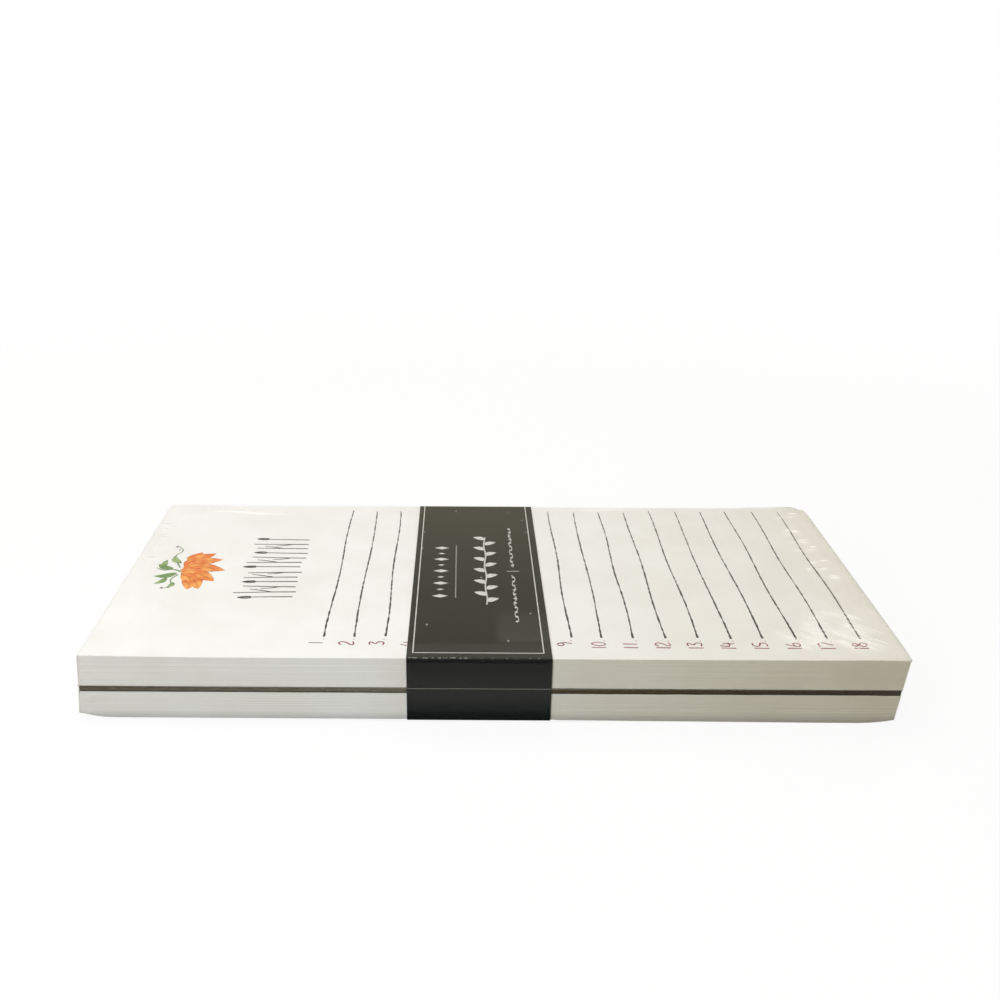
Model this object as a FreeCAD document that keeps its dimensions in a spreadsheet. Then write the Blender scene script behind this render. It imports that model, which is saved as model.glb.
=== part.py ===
import FreeCAD, Part
import os
import Sketcher

# A sealed set of two list pads. The pads lie back board to back board, a
# printed paper belly band goes round their middle, and clear shrink film is
# drawn tight over the lot. Millimetres. X runs along the pads from the glued
# head at -X to the loose foot at +X, Y from the margin side at -Y to the far
# side, and Z up from the underside of the film.

SIZES = (
    ("sheet_length", 235, "sheet, from head to foot"),
    ("sheet_width", 108, "sheet, from margin side to far side"),
    ("sheet_count", 70, "sheets in each pad"),
    ("upper_sheet_gauge", 0.137, "thickness of one sheet of the loose upper pad, with its air"),
    ("lower_sheet_gauge", 0.123, "thickness of one sheet of the pressed lower pad"),
    ("board_gauge", 1.0, "thickness of a backing board"),
    ("head_glue_gauge", 0.4, "thickness of the padding glue on the head"),
    ("stack_lean", 1.8, "how far the top of the two pads has slid towards the foot"),
    ("head_rise", 0.5, "how far the first page curls up at the head"),
    ("foot_rise", 0.8, "how far the first page curls up at the foot"),
    ("curl_reach", 60, "length of page that curls up at either end"),
    ("band_width", 41.3, "belly band, along the pads"),
    ("band_gauge", 0.3, "thickness of the band's paper"),
    ("band_from_head", 93.5, "head of the sheets to the band's nearer edge"),
    ("band_lap", 14, "overlap of the band's two ends, under the pads"),
    ("band_lap_gap", 0.3, "gap between the inner end and the step of the outer end"),
    ("lap_glue_gauge", 0.1, "thickness of the glue in the overlap"),
    ("lap_glue_inset", 2, "glue's distance from the edges of the overlap"),
    ("film_gauge", 0.05, "thickness of the shrink film"),
    ("film_slack", 0.03, "air between the film and what it is drawn over"),
    ("seam_rise", 0.2, "how far the film's sealed seam stands out"),
    ("seam_depth", 0.3, "height of the seam's bead"),
    ("seam_lift", 1.0, "seam's middle above the face where the two boards meet"),
)

doc = FreeCAD.newDocument("list_pad_set")
sizes = doc.addObject("Spreadsheet::Sheet", "sizes")
for row, (alias, value, meaning) in enumerate(SIZES, start=1):
    sizes.set(f"A{row}", meaning)
    sizes.set(f"B{row}", str(value))
    sizes.setAlias(f"B{row}", alias)
doc.recompute()

# Heights, worked out from the sizes, for use in expressions.
LOWER_PAPER = "sizes.sheet_count * sizes.lower_sheet_gauge"
PAPER = f"({LOWER_PAPER} + sizes.sheet_count * sizes.upper_sheet_gauge)"
STACK = f"({PAPER} + 2 * sizes.board_gauge)"
LAP = "2 * sizes.band_gauge + sizes.lap_glue_gauge"
BASE = f"(sizes.film_gauge + sizes.film_slack + {LAP})"
LOWER_BOARD = f"({BASE} + {LOWER_PAPER})"
MIDDLE = f"({LOWER_BOARD} + sizes.board_gauge)"
UPPER_PAPER = f"({MIDDLE} + sizes.board_gauge)"
TOP = f"({BASE} + {STACK})"
HEAD_TOP = f"({TOP} + sizes.head_rise)"
FOOT_TOP = f"({TOP} + sizes.foot_rise)"

# Two lengths closer than this are taken as equal.
SAME = 1e-6

# Places along and across the pads.
HALF_LENGTH = "(sizes.sheet_length + sizes.head_glue_gauge) / 2"
HALF_WIDTH = "sizes.sheet_width / 2"
BAND_HEAD = f"(sizes.head_glue_gauge + sizes.band_from_head - {HALF_LENGTH})"
BAND_FOOT = f"({BAND_HEAD} + sizes.band_width)"


def slid(height):
    """How far the leaning stack has slid towards the foot at a height."""
    return f"sizes.stack_lean * (({height} - {BASE}) / ({STACK}) - 0.5)"


def foot_end(height):
    """X of the sheets' foot at a height."""
    return f"({HALF_LENGTH} + {slid(height)})"


def glue_end(height):
    """X of the outer face of the head glue at a height."""
    return f"({slid(height)} - {HALF_LENGTH})"


def head_end(height):
    """X of the sheets' head, under the glue, at a height."""
    return f"({glue_end(height)} + sizes.head_glue_gauge)"


def hold_corner(sketch, kind, index, size, place):
    """Hold the start of one line at a distance from the sketch's origin."""
    held = sketch.addConstraint(Sketcher.Constraint(kind, -1, 1, index, 1, size))
    sketch.setExpression(f"Constraints[{held}]", place)


def draw_outline(sketch, corners):
    """Close an outline through the corners, each held by a pair of expressions."""
    points = [
        FreeCAD.Vector(*(sizes.evalExpression(place) for place in corner), 0)
        for corner in corners
    ]
    count = len(points)
    for index in range(count):
        sketch.addGeometry(Part.LineSegment(points[index], points[(index + 1) % count]))
    for index in range(count):
        following = (index + 1) % count
        sketch.addConstraint(Sketcher.Constraint("Coincident", index, 2, following, 1))
    for index, (across, up) in enumerate(corners):
        hold_corner(sketch, "DistanceX", index, points[index].x, across)
        hold_corner(sketch, "DistanceY", index, points[index].y, up)


def body_sketch(label, plane_role):
    """Start a body with a sketch on one of its own origin planes."""
    body = doc.addObject("PartDesign::Body", label)
    body.Label = label
    sketch = body.newObject("Sketcher::SketchObject", f"{label}_outline")
    plane = [item for item in body.Origin.OriginFeatures if item.Role == plane_role][0]
    sketch.AttachmentSupport = (plane, [""])
    sketch.MapMode = "FlatFace"
    return body, sketch


def pad_outline(body, sketch, length, symmetric):
    """Give a body's outline its length along the plane's normal."""
    pad = body.newObject("PartDesign::Pad", f"{body.Name}_pad")
    pad.Profile = sketch
    pad.SideType = "Symmetric" if symmetric else "One side"
    pad.setExpression("Length", length)
    return pad


def leaning_block(label, low, high, near_end, far_end, between=()):
    """A block as wide as a sheet, whose two ends lean with the stack.

    The corners in between lie on its upper face, from the far end back.
    """
    body, sketch = body_sketch(label, "XZ_Plane")
    far_high, near_high = (high, high) if isinstance(high, str) else high
    corners = (
        (near_end(low), low),
        (far_end(low), low),
        (far_end(far_high), far_high),
        *between,
        (near_end(near_high), near_high),
    )
    draw_outline(sketch, corners)
    pad_outline(body, sketch, "sizes.sheet_width", True)
    return body


# The first page is flat where the band holds it and curls up at both ends.
CURL = (
    (f"{HALF_LENGTH} - sizes.curl_reach", TOP),
    (f"sizes.curl_reach - {HALF_LENGTH}", TOP),
)

# Each pad is a block of sheets, a backing board and a skin of padding glue
# over the head of both. The lower pad lies face down, so its board is on top.
nodes = [
    leaning_block("upper_sheets", UPPER_PAPER, (FOOT_TOP, HEAD_TOP), head_end, foot_end, CURL),
    leaning_block("upper_backing_board", MIDDLE, UPPER_PAPER, head_end, foot_end),
    leaning_block("upper_head_glue", MIDDLE, HEAD_TOP, glue_end, head_end),
    leaning_block("lower_sheets", BASE, LOWER_BOARD, head_end, foot_end),
    leaning_block("lower_backing_board", LOWER_BOARD, MIDDLE, head_end, foot_end),
    leaning_block("lower_head_glue", BASE, MIDDLE, glue_end, head_end),
]


def belly_band():
    """One strip of paper folded round the pads, its ends lapped underneath."""
    body, sketch = body_sketch("belly_band", "YZ_Plane")
    sketch.setExpression("AttachmentOffset.Base.z", BAND_HEAD)
    outside = f"({HALF_WIDTH} + sizes.band_gauge)"
    under = f"({BASE} - sizes.band_gauge)"
    over = f"({TOP} + sizes.band_gauge)"
    lap_end = "sizes.band_lap / 2"
    step = f"({lap_end} + sizes.band_lap_gap)"
    flap_top = f"({under} - sizes.lap_glue_gauge)"
    flap_bottom = f"({flap_top} - sizes.band_gauge)"
    corners = (
        (lap_end, BASE),
        (f"-{HALF_WIDTH}", BASE),
        (f"-{HALF_WIDTH}", TOP),
        (HALF_WIDTH, TOP),
        (HALF_WIDTH, BASE),
        (step, BASE),
        (step, flap_top),
        (f"-{lap_end}", flap_top),
        (f"-{lap_end}", flap_bottom),
        (f"{step} + sizes.band_gauge", flap_bottom),
        (f"{step} + sizes.band_gauge", under),
        (outside, under),
        (outside, over),
        (f"-{outside}", over),
        (f"-{outside}", under),
        (lap_end, under),
    )
    draw_outline(sketch, corners)
    pad = pad_outline(body, sketch, "sizes.band_width", False)
    doc.recompute()
    edge_place = sizes.evalExpression(outside)
    folds = [
        f"Edge{index}"
        for index, edge in enumerate(pad.Shape.Edges, start=1)
        if all(abs(abs(vertex.Y) - edge_place) < SAME for vertex in edge.Vertexes)
        and abs(edge.BoundBox.XLength - pad.Shape.BoundBox.XLength) < SAME
    ]
    rounding = body.newObject("PartDesign::Fillet", "belly_band_folds")
    rounding.Base = (pad, folds)
    rounding.setExpression("Radius", "sizes.band_gauge")
    return body


def lap_glue():
    """The strip of glue between the band's two lapped ends."""
    glue = doc.addObject("Part::Box", "band_lap_glue")
    glue.Label = "band_lap_glue"
    glue.setExpression("Length", "sizes.band_width - 2 * sizes.lap_glue_inset")
    glue.setExpression("Width", "sizes.band_lap - 2 * sizes.lap_glue_inset")
    glue.setExpression("Height", "sizes.lap_glue_gauge")
    glue.setExpression("Placement.Base.x", f"{BAND_HEAD} + sizes.lap_glue_inset")
    glue.setExpression("Placement.Base.y", "sizes.lap_glue_inset - sizes.band_lap / 2")
    glue.setExpression("Placement.Base.z", f"{BASE} - sizes.band_gauge - sizes.lap_glue_gauge")
    return glue


def prism(name, corners, length, upright):
    """A prism through corners in XY, or in XZ and centred on that plane."""
    sketch = doc.addObject("Sketcher::SketchObject", f"{name}_outline")
    if upright:
        sketch.Placement.Rotation = FreeCAD.Rotation(FreeCAD.Vector(1, 0, 0), 90)
    draw_outline(sketch, corners)
    solid = doc.addObject("Part::Extrusion", name)
    solid.Base = sketch
    solid.DirMode = "Normal"
    solid.Solid = True
    solid.Symmetric = upright
    solid.setExpression("LengthFwd", length)
    return solid


def side_corners(skin):
    """The tight film seen from the margin side, a skin's depth off the pads and band."""
    flap = f"{BASE} - ({LAP}) - {skin}"
    over = f"{TOP} + sizes.band_gauge + {skin}"
    return (
        (f"{glue_end(BASE)} - {skin}", f"{BASE} - {skin}"),
        (BAND_HEAD, flap),
        (BAND_FOOT, flap),
        (f"{foot_end(BASE)} + {skin}", f"{BASE} - {skin}"),
        (f"{foot_end(FOOT_TOP)} + {skin}", f"{FOOT_TOP} + {skin}"),
        (BAND_FOOT, over),
        (BAND_HEAD, over),
        (f"{glue_end(HEAD_TOP)} - {skin}", f"{HEAD_TOP} + {skin}"),
    )


def plan_corners(skin, near_skin, head, foot):
    """The tight film seen from above: widest at the band, then in to the pads' ends."""
    near = f"-({HALF_WIDTH} + {near_skin})"
    near_band = f"-({HALF_WIDTH} + sizes.band_gauge + {near_skin})"
    far = f"{HALF_WIDTH} + {skin}"
    far_band = f"{HALF_WIDTH} + sizes.band_gauge + {skin}"
    return (
        (head, near),
        (BAND_HEAD, near_band),
        (BAND_FOOT, near_band),
        (foot, near),
        (foot, far),
        (BAND_FOOT, far_band),
        (BAND_HEAD, far_band),
        (head, far),
    )


def film_block(name, skin):
    """The closed form of the film at a skin's depth off the pads and band."""
    head = f"{glue_end(BASE)} - {skin}"
    foot = f"{foot_end(FOOT_TOP)} + {skin}"
    across = f"2 * ({HALF_WIDTH} + sizes.band_gauge + {skin})"
    height = f"{TOP} + sizes.head_rise + sizes.foot_rise + sizes.band_gauge + {skin}"
    side = prism(f"{name}_side", side_corners(skin), across, True)
    plan = prism(f"{name}_plan", plan_corners(skin, skin, head, foot), height, False)
    block = doc.addObject("Part::MultiCommon", name)
    block.Shapes = [side, plan]
    return block


def shrink_film():
    """A closed skin of film, with a sealed seam round the margin side and both ends."""
    outer_skin = "(sizes.film_slack + sizes.film_gauge)"
    outside = film_block("film_outside", outer_skin)
    inside = film_block("film_inside", "sizes.film_slack")
    seam_skin = f"({outer_skin} + sizes.seam_rise)"
    seam_height = f"({MIDDLE} + sizes.seam_lift)"
    head = f"{glue_end(seam_height)} - {seam_skin}"
    foot = f"{foot_end(seam_height)} + {seam_skin}"
    seam = prism("film_seam", plan_corners(outer_skin, seam_skin, head, foot), "sizes.seam_depth", False)
    seam.Base.setExpression("Placement.Base.z", f"{seam_height} - sizes.seam_depth / 2")
    sealed = doc.addObject("Part::MultiFuse", "film_sealed")
    sealed.Shapes = [outside, seam]
    film = doc.addObject("Part::Cut", "shrink_film")
    film.Label = "shrink_film"
    film.Base = sealed
    film.Tool = inside
    return film


nodes += [belly_band(), lap_glue(), shrink_film()]
doc.recompute()

for item in doc.Objects:
    if "Invalid" in item.State or "Error" in item.State:
        raise RuntimeError(f"{item.Name} did not compute: {item.State}")
for node in nodes:
    if node.Shape.isNull() or not node.Shape.isValid():
        raise RuntimeError(f"{node.Label} has no valid shape")

os.makedirs("parts", exist_ok=True)
for node in nodes:
    node.Shape.exportStep(f"parts/{node.Label}.step")
    print(node.Label, len(node.Shape.Solids), round(node.Shape.Volume, 2), node.Shape.BoundBox)
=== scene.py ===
import math
import random

import bpy
from mathutils import Matrix, Vector


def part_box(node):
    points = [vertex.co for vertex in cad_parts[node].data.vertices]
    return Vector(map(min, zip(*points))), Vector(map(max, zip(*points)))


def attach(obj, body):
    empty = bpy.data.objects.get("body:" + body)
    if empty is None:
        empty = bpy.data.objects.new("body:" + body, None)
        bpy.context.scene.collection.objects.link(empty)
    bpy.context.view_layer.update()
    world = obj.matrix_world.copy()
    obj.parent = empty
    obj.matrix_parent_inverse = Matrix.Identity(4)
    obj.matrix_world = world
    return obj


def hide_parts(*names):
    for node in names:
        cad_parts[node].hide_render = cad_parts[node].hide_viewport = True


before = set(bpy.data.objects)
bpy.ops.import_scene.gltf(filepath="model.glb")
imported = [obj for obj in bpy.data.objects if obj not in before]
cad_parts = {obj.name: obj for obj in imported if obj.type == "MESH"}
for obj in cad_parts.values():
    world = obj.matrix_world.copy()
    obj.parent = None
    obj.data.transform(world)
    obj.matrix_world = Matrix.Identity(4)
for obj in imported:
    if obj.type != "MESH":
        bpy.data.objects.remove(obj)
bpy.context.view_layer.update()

# The camera stands in front of the margin side, a little left of the middle and
# 18 cm up, and looks down at 23 degrees. Its lens and shift are the photo's own.
MM = 0.001
CAMERA_PLACE = (-8.45 * MM, -316.5 * MM, 180.67 * MM)
LOOK_DOWN = 22.94
LOOK_ASIDE = 0.08
CAMERA_ROLL = 0.283
SENSOR = 36
LENS = 38.84
LENS_SHIFT = 0.04

aim = Matrix.Identity(3)
for axis, turn in (("Z", LOOK_ASIDE), ("X", 90 - LOOK_DOWN), ("Z", CAMERA_ROLL)):
    aim = aim @ Matrix.Rotation(math.radians(turn), 3, axis)
bpy.ops.object.camera_add(location=CAMERA_PLACE, rotation=aim.to_euler())
camera = bpy.context.object
camera.data.sensor_width = SENSOR
camera.data.lens = LENS
camera.data.shift_x = LENS_SHIFT
camera.data.clip_start = 0.01
bpy.context.scene.camera = camera
bpy.context.scene.view_settings.view_transform = "Standard"


# The pads lie on a plain pale table in a white room. One wide soft lamp hangs over
# them and a smaller one stands to their left, so they darken to the right. A weak one
# behind keeps their back from going dark. No lamp is mirrored in the film.
WHITE = (1, 1, 1)
BLACK = (0, 0, 0)
TABLE_BOUNCE = (0.35, 0.3, 0.18)
TABLE_SIZE = 40
SHADOW_KEPT = 0.09
SHADOW_REACH = 0.3
SHADOW_END = 0.6
ROOM_TINT = (1, 0.9, 0.7)
ROOM_LIGHT = 0.04


def colour(red, green, blue):
    """A paint chip's eight-bit values in the shader's linear ones."""
    share = [value / 255 for value in (red, green, blue)]
    return tuple(v / 12.92 if v <= 0.04045 else ((v + 0.055) / 1.055) ** 2.4 for v in share)


def grey(share):
    """A neutral tone in linear values."""
    return (share, share, share)


def add_node(owner, kind, sockets=None, **settings):
    """A shader node with its settings, and a value or a link in each of its sockets."""
    node = owner.node_tree.nodes.new("ShaderNode" + kind)
    for setting, value in settings.items():
        setattr(node, setting, value)
    for socket, value in (sockets or {}).items():
        if isinstance(value, bpy.types.NodeSocket):
            owner.node_tree.links.new(value, node.inputs[socket])
        else:
            node.inputs[socket].default_value = value
    return node


def reckon(owner, operation, first, second):
    """A sum on two numbers."""
    return add_node(owner, "Math", {0: first, 1: second}, operation=operation).outputs[0]


def mix_colours(owner, first, second, share=1, blend="MIX"):
    """One colour laid over another, by a share of it."""
    sockets = {"Factor": share, "A": first, "B": second}
    return add_node(owner, "Mix", sockets, data_type="RGBA", blend_type=blend).outputs["Result"]


def mix_shaders(owner, share, first, second):
    """The first shader where the share is nought, the second where it is one."""
    return add_node(owner, "MixShader", {0: share, 1: first.outputs[0], 2: second.outputs[0]})


def bare_material(name):
    """A material with nothing in it yet."""
    material = bpy.data.materials.new(name)
    material.use_nodes = True
    material.node_tree.nodes.clear()
    return material


def set_surface(material, shader):
    """Make a shader the material's surface."""
    add_node(material, "OutputMaterial", {"Surface": shader.outputs[0]})


def seen_white(owner):
    """One for rays that see the room straight, mirrored or through film, else nought."""
    path = add_node(owner, "LightPath").outputs
    either = reckon(owner, "MAXIMUM", path["Is Camera Ray"], path["Is Glossy Ray"])
    return reckon(owner, "MAXIMUM", either, path["Is Transmission Ray"])


def white_floor():
    """A table top, white to the eye, that takes a faint shadow near the pack."""
    bpy.ops.mesh.primitive_plane_add(size=TABLE_SIZE, location=(0, 0, -0.05 * MM))
    floor = bpy.context.object
    floor.name = "floor"
    bpy.ops.object.transform_apply(location=True)
    material = bare_material("white_floor")
    white = seen_white(material)
    paint = mix_colours(material, (*TABLE_BOUNCE, 1), (*WHITE, 1), white)
    matte = add_node(material, "BsdfDiffuse", {"Color": paint})
    glow = add_node(material, "Emission")
    place = add_node(material, "TexCoord").outputs["Object"]
    away = add_node(material, "VectorMath", {0: place}, operation="LENGTH").outputs["Value"]
    ends = {"From Min": SHADOW_REACH, "From Max": SHADOW_END, "To Min": 1 - SHADOW_KEPT}
    away_share = add_node(material, "MapRange", {"Value": away, **ends}).outputs[0]
    lit = reckon(material, "MULTIPLY", white, away_share)
    set_surface(material, mix_shaders(material, lit, matte, glow))
    floor.data.materials.append(material)


def white_room():
    """A world, white to the eye, that lights the pads far less."""
    world = bpy.data.worlds.new("white_room")
    bpy.context.scene.world = world
    world.use_nodes = True
    nodes = world.node_tree.nodes
    backdrop = nodes["Background"]
    backdrop.inputs["Color"].default_value = (*WHITE, 1)
    dim = add_node(world, "Background", {"Color": (*ROOM_TINT, 1), "Strength": ROOM_LIGHT})
    mix = mix_shaders(world, seen_white(world), dim, backdrop)
    world.node_tree.links.new(mix.outputs[0], nodes["World Output"].inputs["Surface"])


def soft_lamp(name, size, watts, place, tint):
    """A square soft lamp that faces the middle of the pads."""
    bpy.ops.object.light_add(type="AREA", location=place)
    lamp = bpy.context.object
    lamp.name = name
    lamp.data.size = size
    lamp.data.energy = watts
    lamp.data.color = tint
    lamp.visible_glossy = False
    lamp.rotation_euler = (-Vector(place)).to_track_quat("-Z", "Y").to_euler()


white_floor()
white_room()
soft_lamp("overhead_lamp", 1.2, 9.9, (-0.3, 0.25, 1.05), (1, 0.958, 0.885))
soft_lamp("left_lamp", 0.4, 2, (-0.28, -0.4, 0.32), (0.98, 1.03, 1.1))
soft_lamp("back_lamp", 0.8, 3, (0.55, 0.75, 0.35), (1, 0.97, 0.92))


# The lower pad's sheets: uncoated white writing paper, 70 of them, cut in one stroke
# and glued along the head. The pad lies face down, so its first page is underneath.
SHEET_COUNT = 70
SHEET_LENGTH = 235 * MM
SHEET_WIDTH = 108 * MM
PAPER_SHARE = 0.92
FROM_END = [place * MM for place in (1.2, 2.6, 4.5, 7, 10.5, 16, 24, 35, 48, 62)]
FROM_SIDE = [place * MM for place in (1.2, 2.6, 4.5, 7, 10.5, 16, 25, 38)]
HALF_LENGTH = SHEET_LENGTH / 2
HALF_WIDTH = SHEET_WIDTH / 2
CURL_REACH = 60 * MM
HANG_REACH = 75 * MM
BAND_SIDE = 3 * MM
band_low, band_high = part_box("belly_band")


def work_in(mode):
    """Shape the active mesh in EDIT mode, or go back to OBJECT mode."""
    bpy.ops.object.mode_set(mode=mode)


def block(name, low, high):
    """A box between two corners, with its place in its mesh."""
    low, high = Vector(low), Vector(high)
    bpy.ops.mesh.primitive_cube_add(size=1, location=(low + high) / 2, scale=high - low)
    piece = bpy.context.object
    piece.name = piece.data.name = name
    bpy.ops.object.transform_apply(location=True, rotation=True, scale=True)
    return piece


def pick(piece):
    """Select one piece alone, for the next operator."""
    bpy.ops.object.select_all(action="DESELECT")
    bpy.context.view_layer.objects.active = piece
    piece.select_set(True)


def cut_through(*cuts):
    """Cut the active mesh square to an axis. A cut is an axis and its places."""
    work_in("EDIT")
    for axis, places in cuts:
        normal = Vector((0, 0, 0))
        normal[axis] = 1
        for place in places:
            bpy.ops.mesh.select_all(action="SELECT")
            bpy.ops.mesh.bisect(plane_co=normal * place, plane_no=normal)
    work_in("OBJECT")


def evenly(start, length, parts):
    """The places that cut a length into equal parts."""
    return [start + length * step / parts for step in range(1, parts)]


def finish_modifier(piece, kind, **settings):
    """Add a modifier with its settings and apply it."""
    pick(piece)
    modifier = piece.modifiers.new(kind.lower(), kind)
    for setting, value in settings.items():
        setattr(modifier, setting, value)
    bpy.ops.object.modifier_apply(modifier=modifier.name)


def smooth_shade(piece, degrees):
    """Smooth shading, apart from edges sharper than this."""
    pick(piece)
    bpy.ops.object.shade_smooth_by_angle(angle=math.radians(degrees))


def belongs(piece, material, slot=None, *nodes):
    """The piece gets its material, stays with the pack and stands for its nodes. The slot is not used.
    """
    piece.data.materials.append(material)
    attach(piece, "root")
    if nodes:
        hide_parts(*nodes)


def plain_material(name, chip, roughness, specular=0.5):
    """A material in the colour of a paint chip, to build on."""
    material = bpy.data.materials.new(name)
    material.use_nodes = True
    sockets = material.node_tree.nodes["Principled BSDF"].inputs
    sockets["Base Color"].default_value = (*colour(*chip), 1)
    sockets["Roughness"].default_value = roughness
    sockets["Specular IOR Level"].default_value = specular
    return material


def plug(material, socket, pattern):
    """Lead a pattern into a socket of a plain material's shader."""
    shader = material.node_tree.nodes["Principled BSDF"]
    material.node_tree.links.new(pattern, shader.inputs[socket])


def grain(material, scale, stretch=(1, 1, 1), detail=3):
    """Noise on the piece's own coordinates, finer along a stretched axis."""
    place = add_node(material, "TexCoord").outputs["Object"]
    mapped = add_node(material, "Mapping", {"Vector": place, "Scale": stretch}).outputs["Vector"]
    noise = {"Vector": mapped, "Scale": scale, "Detail": detail}
    return add_node(material, "TexNoise", noise).outputs["Fac"]


def ramp(material, factor, stops):
    """Colours at given values of a factor, fading into each other."""
    node = add_node(material, "ValToRGB", {"Fac": factor})
    elements = node.color_ramp.elements
    elements.remove(elements[1])
    for index, (share, tone) in enumerate(stops):
        element = elements[0] if index == 0 else elements.new(share)
        element.position = share
        element.color = (*tone, 1)
    return node.outputs["Color"]


def between(material, factor, low, high, dark, pale):
    """Fade from one colour to another as a factor goes from low to high."""
    return ramp(material, factor, ((low, dark), (high, pale)))


def ramp_along(material, axis, start, end, *stops):
    """Colours at shares of the way from start to end, along one axis of the piece."""
    place = add_node(material, "TexCoord").outputs["Object"]
    parts = add_node(material, "SeparateXYZ", {0: place}).outputs
    way = {"Value": parts[axis], "From Min": start, "From Max": end}
    return ramp(material, add_node(material, "MapRange", way).outputs[0], stops)


def along_pack(material, *stops):
    """Colours at shares of the way from the head to the foot."""
    return ramp_along(material, 0, -HALF_LENGTH, HALF_LENGTH, *stops)


def multiply(material, first, *others):
    """Colours multiplied together."""
    for other in others:
        first = mix_colours(material, first, other, blend="MULTIPLY")
    return first


def relief(material, height, depth):
    """Small bumps this deep, from a height between nought and one."""
    bump = add_node(material, "Bump", {"Distance": depth, "Strength": 1, "Height": height})
    plug(material, "Normal", bump.outputs["Normal"])


def writing_paper():
    """Uncoated white paper: faint clouds, fine tooth, sheets that differ a shade; painted light makes
    its foot dimmer and warmer and paints shade and light on its front.
    """
    material = plain_material("writing_paper", (247, 246, 243), 0.85, specular=0.25)
    dull, pale = colour(245, 244, 240), colour(250, 250, 248)
    clouds = between(material, grain(material, 60), 0.35, 0.7, dull, pale)
    sheet_by_sheet = grain(material, 1, (25, 25, 9000), 2)
    edges = between(material, sheet_by_sheet, 0.3, 0.62, (0.972, 0.972, 0.967), WHITE)
    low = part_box("lower_sheets")[0]
    # Painted shade: the lower pad's front darkens over its bottom 2 mm, where the table shades it.
    painted_table_shade = ramp_along(
        material, 2, low.z - 0.5 * MM, low.z + 2.4 * MM, (0.1, grey(0.7)), (1, WHITE)
    )
    front = ramp_along(material, 1, low.y, low.y + 0.3 * MM, (0.4, WHITE), (1, BLACK))
    # Painted light on the front edges: brighter a third of the way from the head, warmer and dimmer
    # toward the foot, as the lamps fall off.
    painted_front_light = along_pack(
        material, (0.05, WHITE), (0.35, (1.09, 1.1, 1.12)), (0.62, (1.01, 1, 0.94)), (1, (1.02, 1, 0.91))
    )
    # Painted light falloff: the whole paper greys and warms over the last 40 % toward the foot.
    painted_falloff_and_tint = along_pack(material, (0.6, WHITE), (0.76, (0.97, 0.957, 0.925)), (1, (0.95, 0.93, 0.89)))
    front_tone = multiply(material, painted_table_shade, painted_front_light)
    shaded = mix_colours(material, (*WHITE, 1), front_tone, front)
    plug(material, "Base Color", multiply(material, clouds, edges, painted_falloff_and_tint, shaded))
    relief(material, grain(material, 5000, detail=4), 0.02 * MM)
    return material


def stack_of_sheets(name, node, gauge, seed, *hold):
    """Thin sheets, each a hair out of line, as the film holds them."""
    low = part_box(node)[0]
    trim = 0.06 * MM
    stack = block(
        name,
        (low.x + trim, -HALF_WIDTH + trim, low.z),
        (low.x + SHEET_LENGTH - trim, HALF_WIDTH - trim, low.z + gauge * PAPER_SHARE),
    )
    foot = low.x + SHEET_LENGTH
    cut_through(
        (0, [low.x + place for place in FROM_END]),
        (0, [low.x + HALF_LENGTH, *(foot - place for place in FROM_END)]),
        (0, [band_low.x - BAND_SIDE, band_low.x, band_high.x, band_high.x + BAND_SIDE]),
        (1, [-HALF_WIDTH + place for place in FROM_SIDE]),
        (1, [0, *(HALF_WIDTH - place for place in FROM_SIDE)]),
    )
    finish_modifier(
        stack,
        "ARRAY",
        count=SHEET_COUNT,
        use_relative_offset=False,
        use_constant_offset=True,
        constant_offset_displace=(stack_lean * gauge, 0, gauge),
    )
    vary = random.Random(seed).uniform
    corners = stack.data.vertices
    per_sheet = len(corners) // SHEET_COUNT
    for sheet in range(SHEET_COUNT):
        aside = vary(-0.03, 0.03) * MM
        along = vary(-0.045, 0.045) * MM
        turned = vary(-0.0003, 0.0003)
        for corner in corners[sheet * per_sheet : (sheet + 1) * per_sheet]:
            corner.co.y += aside + turned * corner.co.x
            corner.co.x += along
    press(stack, *hold)
    smooth_shade(stack, 40)
    belongs(stack, paper, "sheet_paper", node)
    return stack


def corner_tuck(x, y, shape):
    """How far the film has drawn in a pad's corner. Shapes are in millimetres."""
    tuck, reach = shape["foot" if x > 0 else "head"][2][1 if y > 0 else 0]
    corner = math.hypot(min(0, abs(x) - HALF_LENGTH), min(0, abs(y) - HALF_WIDTH))
    return tuck * MM * max(0, 1 - corner / (reach * MM)) ** 2


def hang(x, shape):
    """How far a pad's loose sheets hang beyond the band's inside."""
    away = max(0, x - band_high.x, band_low.x - x)
    beside_band, at_end = shape["foot_hang" if x > 0 else "head_hang"]
    slope = (at_end - beside_band) * min(1, away / HANG_REACH)
    return (beside_band * min(1, away / BAND_SIDE) + slope) * MM


def first_page_shift(x, y, depth, shape):
    """How far the film has moved a pad's sheets from the boards: depth is one at the first page.

    A shape has each end's near and far rise, then its near and far corner's tuck and reach.
    """
    rise_near, rise_far, _ = shape["foot" if x > 0 else "head"]
    far_share = (y + HALF_WIDTH) / (2 * HALF_WIDTH)
    along = max(0, (abs(x) - HALF_LENGTH + CURL_REACH) / CURL_REACH)
    curl = (rise_near + (rise_far - rise_near) * far_share) * MM * min(1, along) ** 3
    rise = curl + hang(x, shape)
    return rise * depth**2 - corner_tuck(x, y, shape) * depth**3


def press(stack, board_z, page_z, shape):
    """Shape a stack as the tight film holds it."""
    outward = math.copysign(1, page_z - board_z)
    for corner in stack.data.vertices:
        depth = (corner.co.z - board_z) / (page_z - board_z)
        corner.co.z += outward * first_page_shift(corner.co.x, corner.co.y, depth, shape)


LOWER_SHAPE = {
    "head": (0, 0, ((1.4, 9), (0.8, 8))),
    "foot": (0, 0, ((1.3, 11), (0.8, 8))),
    "head_hang": (0.06, 0),
    "foot_hang": (0.14, 0.54),
}

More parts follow.
